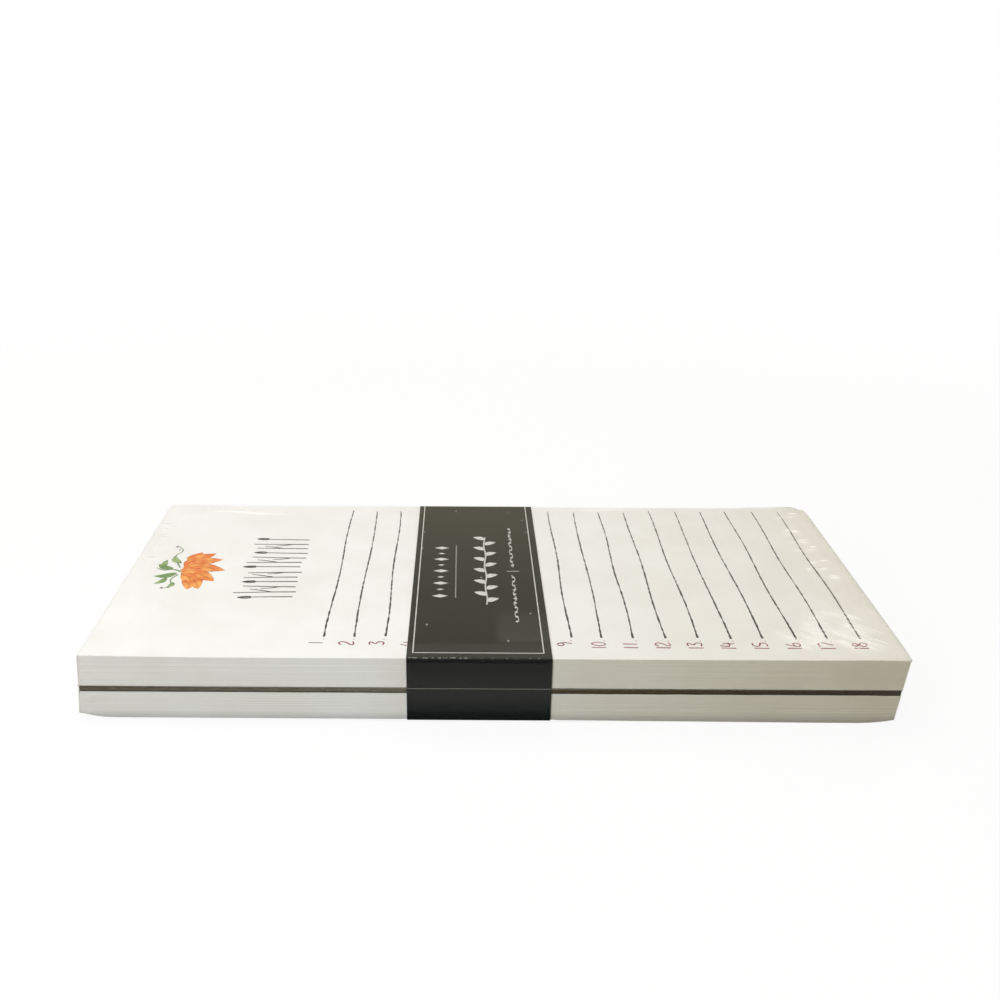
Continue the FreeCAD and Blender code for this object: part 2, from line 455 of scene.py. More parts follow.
paper = writing_paper()
lower_low, lower_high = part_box("lower_sheets")
lower_gauge = (lower_high.z - lower_low.z) / SHEET_COUNT
stack_lean = (lower_high.x - lower_low.x - SHEET_LENGTH) / (lower_high.z - lower_low.z)
lower_hold = (lower_high.z, lower_low.z, LOWER_SHAPE)
lower_sheets = stack_of_sheets("lower_pad_sheets", "lower_sheets", lower_gauge, 3, *lower_hold)


# The upper pad's sheets are the same paper, a little looser. The first page is on top,
# flat under the band, and its ends curl up to the film. The film has bent its far foot
# corner down.
BAND_GAUGE = 0.3 * MM
UPPER_SHAPE = {
    "head": (0.48, 0.46, ((0.05, 5), (0.5, 6))),
    "foot": (0.3, 0.76, ((0.35, 12), (1.1, 4.6))),
    "head_hang": (0, 0),
    "foot_hang": (0, 0),
}
upper_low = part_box("upper_sheets")[0]
page_top = band_high.z - BAND_GAUGE
upper_gauge = (page_top - upper_low.z) / SHEET_COUNT
upper_hold = (upper_low.z, page_top, UPPER_SHAPE)
upper_sheets = stack_of_sheets("upper_pad_sheets", "upper_sheets", upper_gauge, 8, *upper_hold)


# Each pad has a back of dark brown chipboard, die cut, so its edge is crushed and fuzzy.
# The two boards lie on each other in the middle of the stack.
def chipboard():
    """Brown board: layered fibres along its crushed edge, painted shade at its rims, and painted light
    falloff that leaves it greyer and brighter to the head, browner and darker to the foot.
    """
    material = plain_material("chipboard", (98, 90, 78), 0.9)
    layers = grain(material, 1, (350, 350, 9000), 4)
    fibres = between(material, layers, 0.32, 0.7, colour(50, 43, 31), colour(88, 80, 64))
    patches = between(material, grain(material, 30), 0.35, 0.65, (0.8, 0.79, 0.76), WHITE)
    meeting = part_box("upper_backing_board")[0].z
    # Painted shade: the boards' rims darken where they meet the sheets; where the two boards meet, their
    # layers show lighter.
    rim = (0.4, 0.37, 0.3)
    layered = ((0.25, (0.72, 0.7, 0.66)), (0.5, (1.5, 1.48, 1.4)), (0.75, (0.8, 0.78, 0.74)))
    rim_shade_and_layers = ramp_along(material, 2, meeting - MM, meeting + MM, (0, rim), *layered, (1, rim))
    # Painted light falloff: the boards are greyer and brighter at the head, browner and much darker at
    # the foot.
    browner_shaded_foot = ((0.6, (1.05, 0.88, 0.62)), (1, (0.34, 0.23, 0.08)))
    painted_falloff_and_tint = along_pack(material, (0, (2.1, 2.3, 2.9)), (0.4, (2.8, 3.1, 4.1)), *browner_shaded_foot)
    plug(material, "Base Color", multiply(material, fibres, patches, rim_shade_and_layers, painted_falloff_and_tint))
    relief(material, grain(material, 4000, (1, 1, 2), 4), 0.05 * MM)
    return material


def backing_board(name, node, seed):
    """A board whose rounded edges wander a little."""
    low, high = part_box(node)
    lean = (high.x - low.x - SHEET_LENGTH) / (high.z - low.z)
    inset = 0.12 * MM
    board = block(
        name,
        (low.x + inset, low.y + inset, low.z + 0.03 * MM),
        (low.x + SHEET_LENGTH - inset, high.y - inset, high.z - 0.03 * MM),
    )
    work_in("EDIT")
    bpy.ops.mesh.select_all(action="SELECT")
    bpy.ops.mesh.bevel(offset=0.16 * MM, segments=2, affect="EDGES")
    steps = 48
    cut_through((0, evenly(low.x, SHEET_LENGTH, steps)), (1, evenly(low.y, SHEET_WIDTH, 20)))
    vary = random.Random(seed).uniform
    wander = [vary(-1, 1) for _ in range(64)]
    for corner in board.data.vertices:
        along = (corner.co.x - low.x) / SHEET_LENGTH * steps + corner.co.z / (0.4 * MM)
        drift = wander[int(along) % len(wander)] * 0.05 * MM
        if abs(corner.co.y) > HALF_WIDTH - 0.4 * MM:
            corner.co.y += drift
        corner.co.x += lean * (corner.co.z - low.z)
    smooth_shade(board, 50)
    belongs(board, board_material, "backing_board", node)


board_material = chipboard()
backing_board("lower_pad_board", "lower_backing_board", 5)
backing_board("upper_pad_board", "upper_backing_board", 6)


# The head of each pad is brushed with white padding glue, which dries to a thin rubbery
# skin over the sheets and the board. It carries the marks of the brush.
def padding_glue():
    """Dried white glue: slightly shiny, with the sheets just showing through it."""
    material = plain_material("padding_glue", (242, 241, 236), 0.42)
    sheets = grain(material, 1, (20, 40, 7000), 2)
    tone = between(material, sheets, 0.3, 0.65, colour(234, 232, 225), colour(248, 247, 243))
    plug(material, "Base Color", tone)
    relief(material, grain(material, 1, (300, 260, 2500), 3), 0.06 * MM)
    return material


def head_glue(name, node, seed, top, *hold):
    """A skin of glue that leans and bends with its sheets, its outside uneven."""
    low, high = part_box(node)
    skin = 0.4 * MM
    piece = block(
        name,
        (low.x + 0.02 * MM, low.y + 0.05 * MM, low.z + 0.02 * MM),
        (low.x + skin, high.y - 0.05 * MM, top - 0.04 * MM),
    )
    cut_through((1, evenly(low.y, SHEET_WIDTH, 54)), (2, evenly(low.z, high.z - low.z, 12)))
    vary = random.Random(seed).uniform
    ripple = [vary(0, 1) for _ in range(61)]
    for corner in piece.data.vertices:
        if corner.co.x < low.x + skin / 2:
            here = int((corner.co.y - low.y) / (2 * MM) + 1.7 * int(corner.co.z / MM))
            rim = min(1, (top - corner.co.z) / (0.5 * MM), (corner.co.z - low.z) / (0.5 * MM))
            corner.co.x += (0.12 * ripple[here % len(ripple)] + 0.15 * (1 - rim)) * MM
        corner.co.x += stack_lean * (corner.co.z - low.z)
    press(piece, *hold)
    smooth_shade(piece, 60)
    belongs(piece, glue_material, "padding_glue", node)


glue_material = padding_glue()
glue_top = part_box("lower_head_glue")[1].z
head_glue("lower_pad_glue", "lower_head_glue", 11, glue_top, *lower_hold)
head_glue("upper_pad_glue", "upper_head_glue", 12, page_top, *upper_hold)


# Each first page is ruled and numbered in ink, offset printed from a hand drawing.
# The lines wander, swell and thin as a brush pen's do. The upper pad's print comes first.
INK_LIFT = 0.02 * MM
INK_FLATNESS = 0.08
RULE_COUNT = 18
RULE_START = -41.8 * MM
RULE_END = 50 * MM
NUMERAL_HEIGHT = 4.2 * MM
NUMERAL_WIDTH = 1.9 * MM


def pen_strokes(name, strokes, width, thickness=INK_FLATNESS, smooth=True):
    """Strokes of ink as one thin mesh. A stroke is a list of (x, y, swell) points."""
    curve = bpy.data.curves.new(name, "CURVE")
    curve.dimensions = "3D"
    curve.bevel_depth = width / 2
    curve.bevel_resolution = 0
    curve.use_fill_caps = True
    curve.resolution_u = 3
    for stroke in strokes:
        spline = curve.splines.new("BEZIER" if smooth else "POLY")
        points = spline.bezier_points if smooth else spline.points
        points.add(len(stroke) - 1)
        for point, (x, y, swell) in zip(points, stroke):
            point.co = (x, y, 0) if smooth else (x, y, 0, 1)
            point.radius = swell
            if smooth:
                point.handle_left_type = point.handle_right_type = "AUTO"
    piece = bpy.data.objects.new(name, curve)
    bpy.context.scene.collection.objects.link(piece)
    pick(piece)
    bpy.ops.object.convert(target="MESH")
    piece = bpy.context.object
    for corner in piece.data.vertices:
        corner.co.z *= thickness
    return piece


def lay_on(piece, surface, height, lift=INK_LIFT, upward=True):
    """Lay a flat print on a surface, from above or from below."""
    inward = Vector((0, 0, -1 if upward else 1))
    start = height - inward.z * 5 * MM
    for corner in piece.data.vertices:
        hit, spot, _, _ = surface.ray_cast(Vector((corner.co.x, corner.co.y, start)), inward)
        corner.co.z += (spot.z if hit else height) - inward.z * lift


def rule_place(number):
    """Where a rule stands along the page. They widen slightly to the foot."""
    return (-57.06 + 8.756 * number + 0.0242 * number**2) * MM


def ruled_lines():
    """Lines across the page, each a slow wobble with small knots of ink."""
    vary = random.Random(21).uniform
    strokes = []
    steps = 70
    for number in range(1, RULE_COUNT + 1):
        start = RULE_START + vary(-0.4, 0.4) * MM
        end = RULE_END + vary(-0.8, 1) * MM
        phase = vary(0, 2 * math.pi)
        waves = vary(1, 1.9)
        drift = vary(-0.35, 0.35) * MM
        stroke = []
        for step in range(steps + 1):
            share = step / steps
            sway = 0.28 * math.sin(phase + waves * 2 * math.pi * share)
            shiver = vary(-0.05, 0.05)
            x = rule_place(number) + drift * (share - 0.5) + (sway + shiver) * MM
            knot = 1.35 if step in (0, 1) else vary(0.5, 1.4)
            stroke.append((x, start + (end - start) * share, knot * (0.9 - 0.28 * share)))
        strokes.append(stroke)
    return strokes


DIGITS = {
    "0": (((0.3, 1), (0.05, 0.72), (0.02, 0.3), (0.25, 0), (0.5, 0.22), (0.52, 0.7), (0.3, 1)),),
    "1": (((0.3, 1), (0.27, 0)),),
    "2": (((0.02, 0.8), (0.22, 1), (0.5, 0.85), (0.38, 0.5), (0, 0.02), (0.56, 0.05)),),
    "3": (((0.04, 0.98), (0.5, 0.96), (0.22, 0.6), (0.52, 0.38), (0.4, 0.02), (0, 0.1)),),
    "4": (((0.12, 1), (0.02, 0.42), (0.58, 0.42)), ((0.44, 0.8), (0.42, 0))),
    "5": (((0.52, 1), (0.1, 0.98), (0.08, 0.58), (0.5, 0.45), (0.45, 0.06), (0, 0.04)),),
    "6": (((0.4, 1), (0.06, 0.5), (0.14, 0.04), (0.5, 0.14), (0.42, 0.48), (0.06, 0.34)),),
    "7": (((0, 0.96), (0.54, 0.98), (0.2, 0)),),
    "8": (
        ((0.28, 0.54), (0.04, 0.8), (0.28, 1), (0.5, 0.8), (0.28, 0.54)),
        ((0.28, 0.54), (0, 0.24), (0.28, 0), (0.56, 0.24), (0.28, 0.54)),
    ),
    "9": (((0.5, 0.72), (0.22, 0.56), (0.06, 0.8), (0.3, 1), (0.5, 0.72), (0.42, 0)),),
}


def numeral_strokes(number, vary):
    """A number and its point in the margin beside its rule, as pen strokes."""
    figures = str(number)
    tens = len(figures) > 1
    foot = rule_place(number) + (0.5 if tens else 0) * MM
    strokes = []
    for place, figure in enumerate(reversed(figures)):
        left = (-46.3 if tens else -46.6) * MM - place * 2 * MM
        for stroke in DIGITS[figure]:
            points = []
            for across, up in stroke:
                x = foot - up * NUMERAL_HEIGHT + vary(-0.06, 0.06) * MM
                y = left + across * NUMERAL_WIDTH / 0.56 + vary(-0.06, 0.06) * MM
                points.append((x, y, vary(0.8, 1.2)))
            strokes.append(points)
    dot = -43.6 * MM
    strokes.append([(foot, dot, 0.9), (foot - 0.2 * MM, dot + 0.2 * MM, 0.9)])
    return strokes


def ink(name, chip, other):
    """Ink that lies a little unevenly on the paper, between two paint chips."""
    material = plain_material(name, chip, 0.6)
    tones = colour(*chip), colour(*other)
    laid = between(material, grain(material, 900, detail=4), 0.35, 0.66, *tones)
    plug(material, "Base Color", laid)
    return material


def turned_under(piece, name):
    """A copy of a page's flat print, turned face down for the lower pad."""
    copy = piece.copy()
    copy.data = piece.data.copy()
    copy.name = copy.data.name = name
    bpy.context.scene.collection.objects.link(copy)
    copy.data.transform(Matrix.Rotation(math.pi, 4, "X"))
    return copy


def print_pages(piece, material):
    """Put one print on both pads' first pages."""
    under = turned_under(piece, piece.name.replace("upper", "lower"))
    lay_on(piece, upper_sheets, page_top)
    lay_on(under, lower_sheets, lower_low.z, upward=False)
    for page_print in (piece, under):
        belongs(page_print, material)


black_ink = ink("black_ink", (28, 26, 19), (58, 54, 44))
red_ink = ink("red_ink", (118, 18, 32), (160, 46, 56))
grey_ink = ink("grey_ink", (84, 80, 78), (120, 116, 112))

print_pages(pen_strokes("upper_page_rules", ruled_lines(), 0.58 * MM, smooth=False), black_ink)
numeral_vary = random.Random(33).uniform
numerals = []
for number in range(2, RULE_COUNT + 1):
    numerals += numeral_strokes(number, numeral_vary)
print_pages(pen_strokes("upper_page_numerals", numerals, 0.42 * MM), red_ink)
first_numeral = numeral_strokes(1, numeral_vary)
print_pages(pen_strokes("upper_page_first_numeral", first_numeral, 0.36 * MM), grey_ink)


# At the head of each page stands a printed ornament: a spray of autumn leaves in orange
# with green twigs, over a row of slender reeds. Both are flat ink on the paper.
def write_share(piece, name, shares):
    """Store one number for each corner of a piece, for its material."""
    layer = piece.data.attributes.new(name, "FLOAT", "POINT")
    for index, share in enumerate(shares):
        layer.data[index].value = share


def leaf(x, y, length, width, heading, bend=0.12):
    """A pointed leaf in millimetres, as a flat patch of ink with its stalk end at a point."""
    x, y, length, width = x * MM, y * MM, length * MM, width * MM
    bpy.ops.mesh.primitive_grid_add(x_subdivisions=14, y_subdivisions=6, size=1)
    piece = bpy.context.object
    turn = Matrix.Rotation(math.radians(heading), 2)
    wash = []
    for corner in piece.data.vertices:
        along = corner.co.x + 0.5
        across = corner.co.y * 2
        outline = math.sin(math.pi * along**0.8) ** 0.85 if 0 < along < 1 else 0
        tooth = 1 + 0.05 * math.sin(along * 46) * abs(across)
        side = across * outline * tooth * width / 2 + bend * length * math.sin(math.pi * along)
        wash.append(1 - abs(across))
        spot = turn @ Vector((along * length, side))
        corner.co = (x + spot.x, y + spot.y, 0)
    write_share(piece, "wash", wash)
    return piece


def join_pieces(name, pieces):
    """Join pieces into one."""
    joined = pieces[0]
    pick(joined)
    for piece in pieces:
        piece.select_set(True)
    bpy.ops.object.join()
    joined.name = joined.data.name = name
    return joined


def face_outwards(piece, weld=0):
    """Turn a piece's faces outwards, once its corners that touch are welded."""
    pick(piece)
    work_in("EDIT")
    bpy.ops.mesh.select_all(action="SELECT")
    if weld:
        bpy.ops.mesh.remove_doubles(threshold=weld)
    bpy.ops.mesh.normals_make_consistent(inside=False)
    work_in("OBJECT")


def thicken(piece, depth=0.012 * MM):
    """Give a flat patch its thin body of ink."""
    face_outwards(piece, 0.01 * MM)
    finish_modifier(piece, "SOLIDIFY", thickness=depth, offset=0)


def in_metres(strokes):
    """Strokes whose places are in millimetres, for the pen."""
    return [[(x * MM, y * MM, swell) for x, y, swell in stroke] for stroke in strokes]


def stored(material, name):
    """A number that is kept at each corner of the piece."""
    return add_node(material, "Attribute", attribute_name=name).outputs["Fac"]


def washed_ink(name, rim, body, glow):
    """Watercolour ink: a dark rim and vein, and light patches where it has run."""
    material = plain_material(name, body, 0.7)
    wash = stored(material, "wash")
    depth = between(material, wash, 0.03, 0.3, colour(*rim), colour(*body))
    vein = between(material, wash, 0.8, 0.95, WHITE, (0.72, 0.62, 0.5))
    light = between(material, grain(material, 300), 0.42, 0.62, BLACK, grey(0.85))
    run = mix_colours(material, depth, (*colour(*glow), 1), light)
    plug(material, "Base Color", multiply(material, run, vein))
    return material


def spray(name, leaves):
    """Leaves joined as one print, each laid a hair above the one before."""
    parts = []
    for index, (x, y, length, width, heading) in enumerate(leaves):
        part = leaf(x, y, length, width, heading)
        part.data.transform(Matrix.Translation((0, 0, index * 0.006 * MM)))
        parts.append(part)
    joined = join_pieces(name, parts)
    thicken(joined)
    return joined


ORANGE_LEAVES = (
    (-97.6, 5.2, 8.6, 5, 80),
    (-97.4, -4.8, 8.8, 5, -76),
    (-99, 3.6, 12, 5.8, 50),
    (-99.2, -3.4, 12.2, 5.6, -52),
    (-99.8, 2.2, 13.2, 6, 27),
    (-99.6, -2, 13, 6, -25),
    (-100.6, 0.1, 14.8, 6.4, 1),
    (-99.4, 2.2, 8.4, 4, 62),
    (-99.4, -2, 8.6, 4, -60),
    (-99.8, 1.2, 9.2, 4.2, 38),
    (-99.8, -1.2, 9, 4.2, -38),
    (-100, 0.5, 9.6, 4, 14),
    (-100, -0.5, 9.2, 3.8, -13),
)
print_pages(
    spray("upper_page_orange_leaves", ORANGE_LEAVES),
    washed_ink("orange_ink", (176, 70, 22), (232, 124, 42), (248, 178, 88)),
)

GREEN_LEAVES = (
    (-101, -2, 7.5, 3, 200),
    (-103, 1, 6.5, 2.6, 150),
    (-101.5, 5, 6.5, 2.6, 120),
    (-103.5, -5.5, 5.5, 2.2, 235),
    (-106, 2.5, 5, 2, 95),
    (-100.6, -8.6, 4, 1.8, 250),
)
print_pages(
    spray("upper_page_green_leaves", GREEN_LEAVES),
    washed_ink("green_ink", (70, 98, 46), (106, 140, 74), (166, 188, 132)),
)

TWIGS = (
    ((-100, -1, 1.4), (-103, 0.5, 1.1), (-106, 0, 0.9), (-108.5, 1.5, 0.6)),
    ((-101, 2, 1), (-103, 6, 0.9), (-104.5, 11, 0.8), (-103, 14.5, 0.7), (-105, 18.0, 0.5)),
    ((-100.5, -3, 1), (-102, -7, 0.8), (-100.8, -10.5, 0.7), (-102.6, -12.8, 0.5)),
)
green_pen = ink("green_pen", (88, 112, 66), (132, 150, 110))
print_pages(pen_strokes("upper_page_twigs", in_metres(TWIGS), 0.55 * MM), green_pen)

BERRIES = ((-105.6, 17.6, 1.3), (-104.2, 15.2, 1.0), (-103.4, -12.6, 1.2), (-101.4, -12.2, 0.9))
berries = [(x - width / 2, y, width, width, 0) for x, y, width in BERRIES]
print_pages(
    spray("upper_page_berries", berries),
    washed_ink("mauve_ink", (96, 84, 98), (132, 120, 132), (178, 168, 176)),
)


REED_BLADES = (
    ((8, 0, 0.9), (12, 1.1, 0.9), (15, 1.7, 0.5)),
    ((5, 0, 0.9), (8, -0.9, 0.9), (11, -1.3, 0.5)),
)


def reed_strokes():
    """A row of slender reeds, each a tall stem with a bud or a blade."""
    vary = random.Random(44).uniform
    strokes = []
    low, high = -17.5, 24
    stems = 13
    bud = 1.1
    for stem in range(stems):
        y = low + (high - low) * stem / (stems - 1) + vary(-0.5, 0.5)
        foot = -60.5 - vary(0, 1.2)
        tip = -80.5 + vary(0, 2.6)
        lean = vary(-0.9, 0.9)
        top = (tip, y + lean, 0.9)
        strokes.append([(foot, y, 1.1), ((foot + tip) / 2, y + lean * 0.3, 0.9), (tip, y + lean, 0.8)])
        if stem % 3 == 0:
            left, right = (tip + 2, y + lean - bud / 2, 1.1), (tip + 2, y + lean + bud / 2, 1.1)
            strokes.append([top, left, (tip + 4.2, y + lean * 0.8, 0.9), right, top])
        else:
            blade = REED_BLADES[stem % 3 - 1]
            strokes.append([(foot - up, y + aside, swell) for up, aside, swell in blade])
    return in_metres(strokes)


print_pages(pen_strokes("upper_page_reeds", reed_strokes(), 0.56 * MM), black_ink)


# The belly band is one strip of satin paper, printed near black on its outside. It is
# folded round both pads, and its two ends lap underneath, where they are glued.
BAND_LAP = 14 * MM
# The front's tones from the table up: painted shade darkens its bottom toward the table, the middle is
# the print's own near black, and the black strip under the top fold is a painted shadow.
FRONT_TONES_AND_SHADE = (
    (0.03, (0, 3, 3)),
    (0.12, (8, 16, 15)),
    (0.155, (14, 23, 22)),
    (0.19, (26, 31, 30)),
    (0.4, (46, 47, 45)),
    (0.75, (37, 38, 36)),
    (0.915, (30, 31, 29)),
    (0.93, (0, 0, 0)),
    (0.978, (0, 0, 0)),
    (0.986, (44, 44, 40)),
)


def band_paper():
    """Near-black print under a satin varnish, with a painted shadow under its near top fold, painted
    shade along the front's bottom and painted reflections on its top.
    """
    material = plain_material("band_paper", (38, 38, 33), 0.5, specular=0.06)
    low, high = band_low, band_high

    def across(reach, *stops):
        """Colours from the near fold to this far across the band."""
        return ramp_along(material, 1, low.y, low.y + reach, *stops)

    clouds = grain(material, 30)
    cloud = between(material, clouds, 0.35, 0.68, colour(47, 47, 38), colour(52, 52, 42))
    # Painted reflection: the top grows lighter and warmer toward its far side, like a satin sheen.
    painted_sheen_to_far = across(high.y - low.y, (0.1, grey(0.72)), (0.45, grey(0.86)), (1, (1.2, 1.16, 1)))
    front_shading_tones = [(up, colour(*chip)) for up, chip in FRONT_TONES_AND_SHADE]
    front = ramp_along(material, 2, 0, high.z, *front_shading_tones)
    on_front = across(0.5 * MM, (0.25, WHITE), (1, BLACK))
    # Painted reflection: a faint lighter strip along the top's near edge.
    painted_reflection_near = across(
        12 * MM, (0, (0.018, 0.018, 0.017)), (0.6, (0.014, 0.014, 0.013)), (0.75, BLACK)
    )
    # Painted reflection: a faint lighter patch on the top toward the foot.
    bright = ((0.325, (0.024, 0.024, 0.022)), (0.7375, (0.014, 0.014, 0.013)))
    painted_reflection_foot = across(32 * MM, (0.25, BLACK), *bright, (0.8875, BLACK))
    toward_foot = ramp_along(material, 0, low.x, high.x, (0.6, BLACK), (0.68, WHITE))
    toned = multiply(material, cloud, painted_sheen_to_far)
    for bloom in (painted_reflection_near, multiply(material, painted_reflection_foot, toward_foot)):
        toned = mix_colours(material, toned, bloom, blend="ADD")
    plug(material, "Base Color", mix_colours(material, toned, front, on_front))
    relief(material, grain(material, 120, detail=1), 0.004 * MM)
    return material


def select_folds(strip, lines):
    """Select the edges that lie along the pack at any of these (y, z) lines."""
    for edge in strip.data.edges:
        ends = [strip.data.vertices[index].co for index in edge.vertices]
        edge.select = any(
            all(abs(end.y - y) + abs(end.z - z) < 0.01 * MM for end in ends) for y, z in lines
        )


def belly_band():
    """Fold the strip, one flat after the other, and give it its thickness."""
    low, high = band_low, band_high
    half = BAND_GAUGE / 2
    base = lower_low.z - half
    outside = high.y - half
    flap = low.z + half
    lap = BAND_LAP / 2
    bpy.ops.mesh.primitive_plane_add(size=1)
    band = bpy.context.object
    band.name = band.data.name = "folded_belly_band"
    path = (
        (lap, base),
        (-outside, base),
        (-outside, high.z - half),
        (outside, high.z - half),
        (outside, base),
        (lap + BAND_GAUGE * 1.5, base),
        (lap + BAND_GAUGE, flap),
        (-lap, flap),
    )
    for index, corner in enumerate(band.data.vertices):
        corner.co = ((low.x, high.x)[index % 2], *path[index // 2])
    for (y, z), (next_y, next_z) in zip(path[1:], path[2:]):
        work_in("EDIT")
        bpy.ops.mesh.select_all(action="DESELECT")
        work_in("OBJECT")
        select_folds(band, [(y, z)])
        work_in("EDIT")
        bpy.ops.mesh.select_mode(type="EDGE")
        bpy.ops.mesh.extrude_region_move(
            TRANSFORM_OT_translate={"value": (0, next_y - y, next_z - z)}
        )
        work_in("OBJECT")
    face_outwards(band)
    select_folds(band, path[1:5])
    work_in("EDIT")
    bpy.ops.mesh.bevel(offset=0.22 * MM, segments=3, affect="EDGES")
    cut_through(
        (0, evenly(low.x, high.x - low.x, 24)),
        (1, evenly(-HALF_WIDTH, SHEET_WIDTH, 60)),
        (2, [(2 + 3 * step) * MM for step in range(6)]),
    )
    finish_modifier(band, "SOLIDIFY", thickness=BAND_GAUGE * 0.94, offset=0, material_offset_rim=1)
    face_outwards(band)
    smooth_shade(band, 50)
    return band


band = belly_band()
belongs(band, band_paper(), "band_paper", "belly_band")
band.data.materials.append(plain_material("band_cut_edge", (120, 119, 110), 0.8))


# The band's print is pale ink on the dark ground: a thin frame, a row of lozenges, a
# dotted rule, a leafy branch and a string of beads, all across the pack.
FRAME_HEAD = band_low.x + 1.6 * MM
FRAME_FOOT = band_high.x - 2.1 * MM
FRAME_NEAR = -51.4 * MM
FRAME_LINE = 0.32 * MM


def flat_patch(points):
    """A flat outline of ink, filled."""
    bpy.ops.mesh.primitive_circle_add(vertices=len(points), radius=1, fill_type="NGON")
    piece = bpy.context.object
    for corner, (x, y) in zip(piece.data.vertices, points):
        corner.co = (x, y, 0)
    return piece


def lozenge(x, y, long, wide):
    """A diamond in millimetres, its long way along the pack."""
    x, y, long, wide = x * MM, y * MM, long * MM, wide * MM
    return flat_patch(((x - long / 2, y), (x, y - wide / 2), (x + long / 2, y), (x, y + wide / 2)))


def bar(x_low, x_high, y_low, y_high):
    """A straight bar of ink."""
    return flat_patch(((x_low, y_low), (x_high, y_low), (x_high, y_high), (x_low, y_high)))


far_end = band_high.y - 0.35 * MM
inner_head, inner_foot = FRAME_HEAD + FRAME_LINE, FRAME_FOOT - FRAME_LINE
band_parts = [
    bar(FRAME_HEAD, inner_head, FRAME_NEAR, far_end),
    bar(inner_foot, FRAME_FOOT, FRAME_NEAR, far_end),
    bar(inner_head, inner_foot, FRAME_NEAR, FRAME_NEAR + FRAME_LINE),
]
for step in range(9):
    long, wide = (2.4, 1.1) if step % 2 else (5, 2.2)
    band_parts.append(lozenge(-15, -17 + 4.35 * step, long, wide))
band_parts += [lozenge(-10.1, -17.6 + 1.28 * step, 0.55, 0.7) for step in range(30)]
for step in range(12):
    side = -1 if step % 2 else 1
    band_parts.append(leaf(-0.4, -20.5 + 4.1 * step, 4.4, 2.5, 90 - side * 62, bend=0.1 * side))
band_parts += [lozenge(8.5, -33 + 2.9 * step, 1.2, 1.2) for step in (*range(11), *range(13, 24))]
band_parts.append(bar(6.6 * MM, 10.6 * MM, 0.2 * MM, 0.5 * MM))
band_shapes = join_pieces("band_print_shapes", band_parts)
for corner in band_shapes.data.vertices:
    corner.co.z = 0
thicken(band_shapes, 0.008 * MM)


def wavy_line(x, y_start, step_long, steps, sway, beat):
    """One wavy stroke across the band, in millimetres."""
    return [(x + sway * math.sin(step * beat), y_start + step_long * step, 1) for step in range(steps)]


def fold_scuffs():
    """Short pale scuffs on the near top fold, where the ink has cracked off."""
    vary = random.Random(71).uniform
    strokes = []
    x = -23.2
    while x < 16.5:
        long = vary(0.2, 1.6) if x < -6 else vary(0.1, 0.4)
        y = -54.12 + vary(0, 0.12)
        strokes.append([(x, y, 0.5), (x + long, y + 0.03, 1)])
        x += long + (vary(0.2, 1.6) if x < -6 else vary(2, 5))
    return in_metres(strokes)


branch = in_metres([wavy_line(-0.4, -22.5, 2.45, 21, 0.25, 1)])
string = in_metres([wavy_line(8.5, start, 1.15, 28, 0.5, 1.1) for start in (-33.3, 3.3)])
pale_ink = ink("pale_ink", (196, 197, 190), (224, 225, 220))
band_branch = pen_strokes("band_print_branch", branch, 0.55 * MM, thickness=0.03)
band_string = pen_strokes("band_print_string", string, 0.26 * MM, thickness=0.06)
band_scuffs = pen_strokes("band_fold_scuffs", fold_scuffs(), 0.2 * MM, thickness=0.06, smooth=False)
for piece in (band_shapes, band_branch, band_string, band_scuffs):
    lay_on(piece, band, band_high.z, lift=0.008 * MM)
    belongs(piece, pale_ink)


# A strip of clear glue holds the band's two ends together under the pack. It is a piece
# of the CAD model, shown as it is.
glue_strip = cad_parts["band_lap_glue"]
lap_material = plain_material("lap_glue", (222, 218, 200), 0.35)
lap_grain = grain(lap_material, 200)
lap_tone = between(lap_material, lap_grain, 0.4, 0.6, colour(214, 209, 190), colour(228, 225, 210))
plug(lap_material, "Base Color", lap_tone)
glue_strip.data.materials.clear()
glue_strip.data.materials.append(lap_material)


# Clear shrink film closes the pack: a thin skin drawn tight over pads and band by heat,
# with a welded seam along the margin side and both ends. Where it has shrunk unevenly it
# is wrinkled, most of all at the foot's near corner, and it hazes where it turns an edge.
FILM_GAP = 0.08 * MM


def clear_film():
    """Clear film: its outside mirrors a little, its creases are white, the sharp ones glow as a painted
    highlight, and its broad foot haze is a painted shade.
    """
    material = bare_material("clear_film")
    clear = add_node(material, "BsdfTransparent", {"Color": (0.985, 0.985, 0.98, 1)})
    over_print = stored(material, "over_print")
    tint = between(material, over_print, 0, 1, (1, 1, 0.98), (1, 0.97, 0.76))
    gloss = add_node(material, "BsdfGlossy", {"Roughness": 0.12, "Color": tint})
    fresnel = add_node(material, "Fresnel", {"IOR": 1.2}).outputs[0]
    mirrored = reckon(material, "MULTIPLY", fresnel, stored(material, "shine"))
    inside = add_node(material, "NewGeometry").outputs["Backfacing"]
    outside = reckon(material, "SUBTRACT", 1, inside)
    skin = mix_shaders(material, reckon(material, "MULTIPLY", mirrored, outside), clear, gloss)
    crease = stored(material, "crease")
    # The creases' colour: a warm grey where the film is milky, and a painted shade where its broad haze
    # lies over the foot of the pages; white where the film is stress-whitened.
    haze_shade_and_whitening = between(material, crease, 0.5, 0.6, (0.6, 0.59, 0.51), (1, 1, 0.99))
    matte = add_node(material, "BsdfDiffuse", {"Color": haze_shade_and_whitening})
    # Painted highlight: the sharper creases glow with white emission in place of the lamps' glints on
    # the wrinkles.
    glint = add_node(material, "Emission", {"Color": (1, 0.98, 0.93, 1), "Strength": 0.95})
    sharp = between(material, crease, 0.5, 0.58, BLACK, grey(0.6))
    white = mix_shaders(material, sharp, matte, glint)
    set_surface(material, mix_shaders(material, crease, skin, white))
    return material


